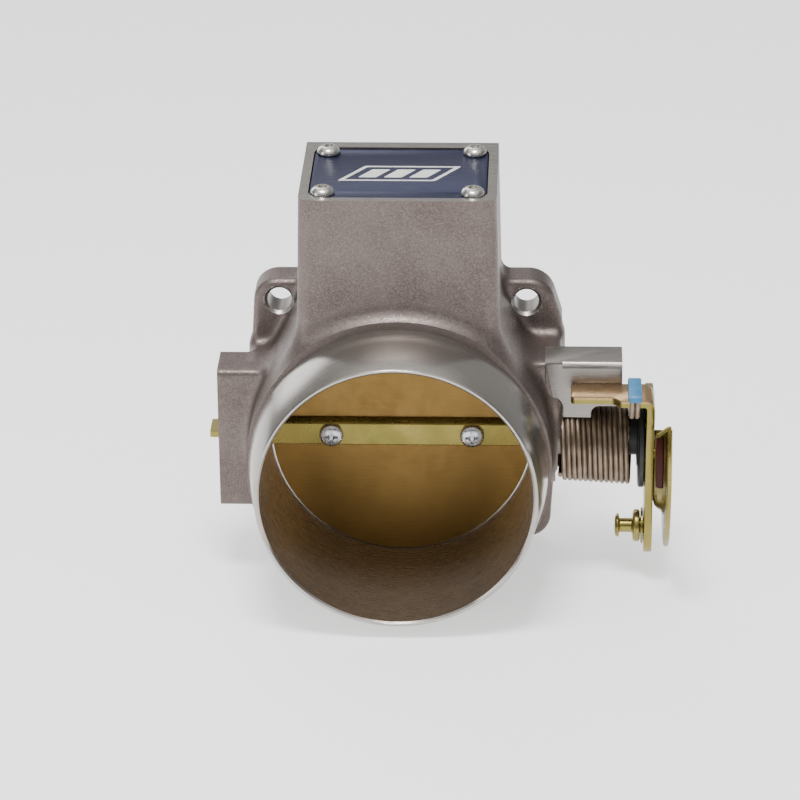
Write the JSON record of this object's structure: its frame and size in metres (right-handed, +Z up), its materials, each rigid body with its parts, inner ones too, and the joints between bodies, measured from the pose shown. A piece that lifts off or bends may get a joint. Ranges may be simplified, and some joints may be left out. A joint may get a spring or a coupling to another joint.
{
  "type": "throttle body",
  "caption": "Cable-operated throttle body with a round bore, butterfly plate, bent lever, cable cam, return springs and a four-bolt flange.",
  "frame": {"origin": "where the bore axis meets the flange's back face", "axes": "+Y along the bore out of the flange towards the engine, +Z up, the throttle shaft parallel to X with the cable lever at +X"},
  "size_m": [0.1409, 0.0749, 0.1331],
  "materials": {
    "cast_aluminium": "sand-cast and tumbled, with machined neck, rims and faces",
    "blue_anodised": "satin blue anodised sheet",
    "gasket_fibre": "matt compressed fibre",
    "stainless": "bright stainless",
    "bright_zinc_steel": "bright zinc plated",
    "yellow_zinc_steel": "yellow chromate zinc",
    "gold_plate": "satin gold chromate",
    "bronze": "plain bearing bronze",
    "seal_rubber": "matt",
    "black_nylon": "moulded, slightly shiny",
    "spring_steel": "dark drawn wire",
    "blue_sleeve": "soft plastic",
    "red_nylon": "smooth moulded"
  },
  "bodies": {
    "body": {"housing": "cast_aluminium", "cover_plate": "blue_anodised", "cover_gasket": "gasket_fibre", "cover_screw_1": "stainless", "cover_screw_2": "stainless", "cover_screw_3": "stainless", "cover_screw_4": "stainless", "shaft_bearing_left": "bronze", "shaft_bearing_right": "bronze", "shaft_seal_left": "seal_rubber", "shaft_seal_right": "seal_rubber", "spring_bush": "black_nylon", "idle_stop_locknut": "bright_zinc_steel", "return_spring_outer": "spring_steel", "return_spring_inner": "spring_steel"},
    "throttle": {"throttle_shaft": "yellow_zinc_steel", "throttle_plate": "gold_plate", "plate_screw_left": "bright_zinc_steel", "plate_screw_right": "bright_zinc_steel", "throttle_lever": "yellow_zinc_steel", "cable_stud": "yellow_zinc_steel", "stud_washer": "yellow_zinc_steel", "cable_cam": "yellow_zinc_steel", "cable_liner": "red_nylon", "cam_rivet_1": "yellow_zinc_steel", "cam_rivet_2": "yellow_zinc_steel", "cam_rivet_3": "yellow_zinc_steel", "spring_end_sleeve": "blue_sleeve"},
    "idle_screw": {"idle_stop_screw": "bright_zinc_steel"}
  },
  "joints": [
    {"name": "throttle_rotation", "type": "hinge", "parent": "body", "child": "throttle", "pos_m": [0, -0.0245, 0], "axis": [1, 0, 0], "range_deg": [0, 82], "stiffness_Nm_per_rad": 0.35, "springref_deg": -45.84, "deforming": ["return_spring_outer", "return_spring_inner"]},
    {"name": "idle_screw_adjust", "type": "slide", "parent": "body", "child": "idle_screw", "axis": [0, 1, 0], "range_m": [0, 0.004]}
  ]
}
